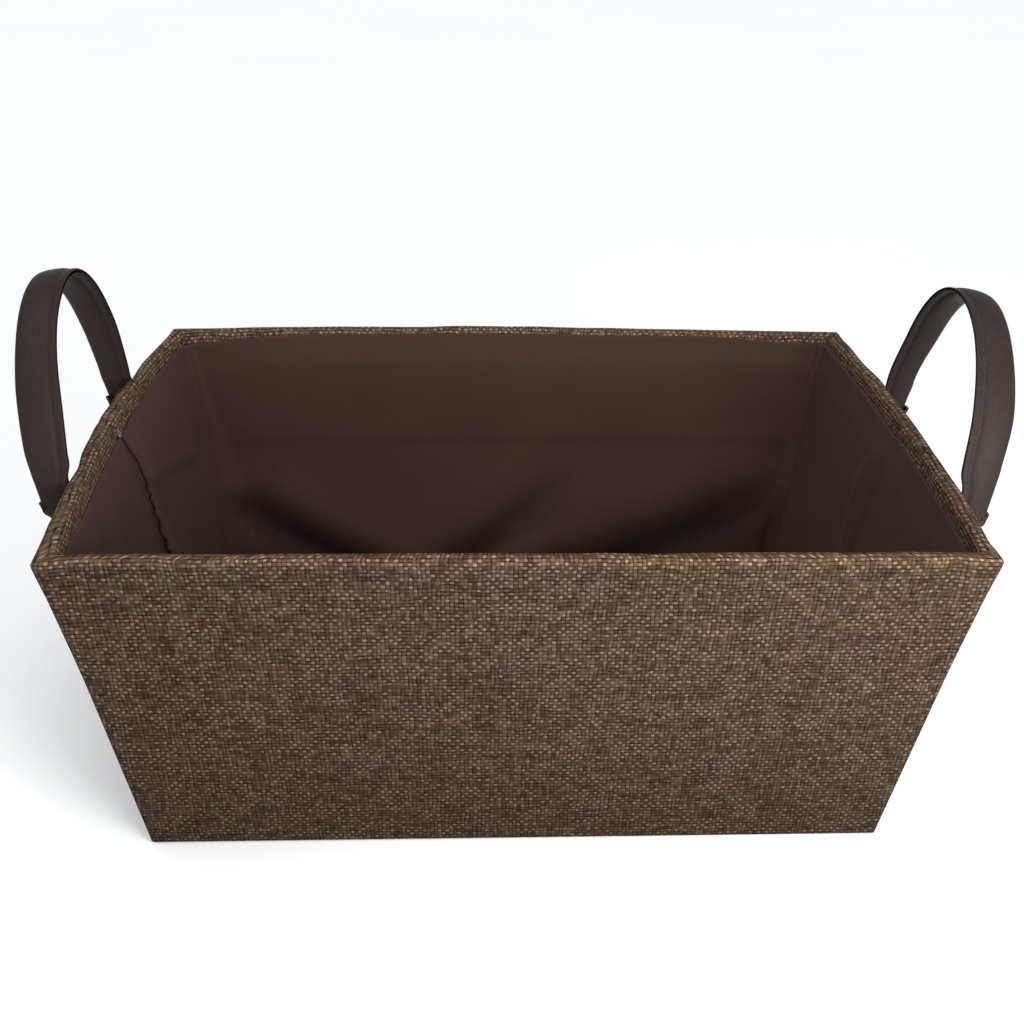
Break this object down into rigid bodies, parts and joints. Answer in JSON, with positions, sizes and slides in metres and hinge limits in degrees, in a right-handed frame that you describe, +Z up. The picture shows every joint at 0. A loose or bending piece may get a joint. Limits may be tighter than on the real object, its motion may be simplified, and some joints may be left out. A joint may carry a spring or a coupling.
{
  "type": "fabric storage bin",
  "caption": "Tapered open-top storage bin: stiff boards in a coarse woven cover, a loose dark lining, and a leather strap handle at each end.",
  "frame": {"origin": "centre of the flat underside of the base", "axes": "+Z up, +X along the bin's length, front towards -Y, a handle at each end of X"},
  "size_m": [0.457, 0.2772, 0.2511],
  "materials": {
    "cover_fabric": "coarse plain weave, brown and tan heather",
    "lining_fabric": "smooth dark brown polyester",
    "strap_leather": "dark brown faux leather, soft sheen",
    "greyboard": "plain greyboard",
    "filler": "pressed fibre strip",
    "staple_steel": "bright wire"
  },
  "bodies": {
    "bin": {"board_back": "greyboard", "board_floor": "greyboard", "board_front": "greyboard", "board_left": "greyboard", "board_right": "greyboard", "cover_base": "cover_fabric", "cover_lip_left_front": "cover_fabric", "cover_lip_left_rear": "cover_fabric", "cover_lip_right_front": "cover_fabric", "cover_lip_right_rear": "cover_fabric", "cover_wrap": "cover_fabric", "lining_floor": "lining_fabric", "lining_wrap": "lining_fabric", "staple_left_front": "staple_steel", "staple_left_rear": "staple_steel", "staple_right_front": "staple_steel", "staple_right_rear": "staple_steel", "strap_end_left_front": "strap_leather", "strap_end_left_rear": "strap_leather", "strap_end_right_front": "strap_leather", "strap_end_right_rear": "strap_leather"},
    "handle_left": {"handle_left_sleeve": "strap_leather", "handle_left_core": "filler"},
    "handle_right": {"handle_right_sleeve": "strap_leather", "handle_right_core": "filler"}
  },
  "joints": [
    {"name": "handle_left_tilt", "type": "hinge", "parent": "bin", "child": "handle_left", "pos_m": [-0.21728, 0, 0.1785], "axis": [0, 1, 0], "range_deg": [-85, 60], "stiffness_Nm_per_rad": 0.06},
    {"name": "handle_right_tilt", "type": "hinge", "parent": "bin", "child": "handle_right", "pos_m": [0.21365, -0.012, 0.1785], "axis": [0, -1, 0], "range_deg": [-85, 60], "stiffness_Nm_per_rad": 0.06}
  ]
}
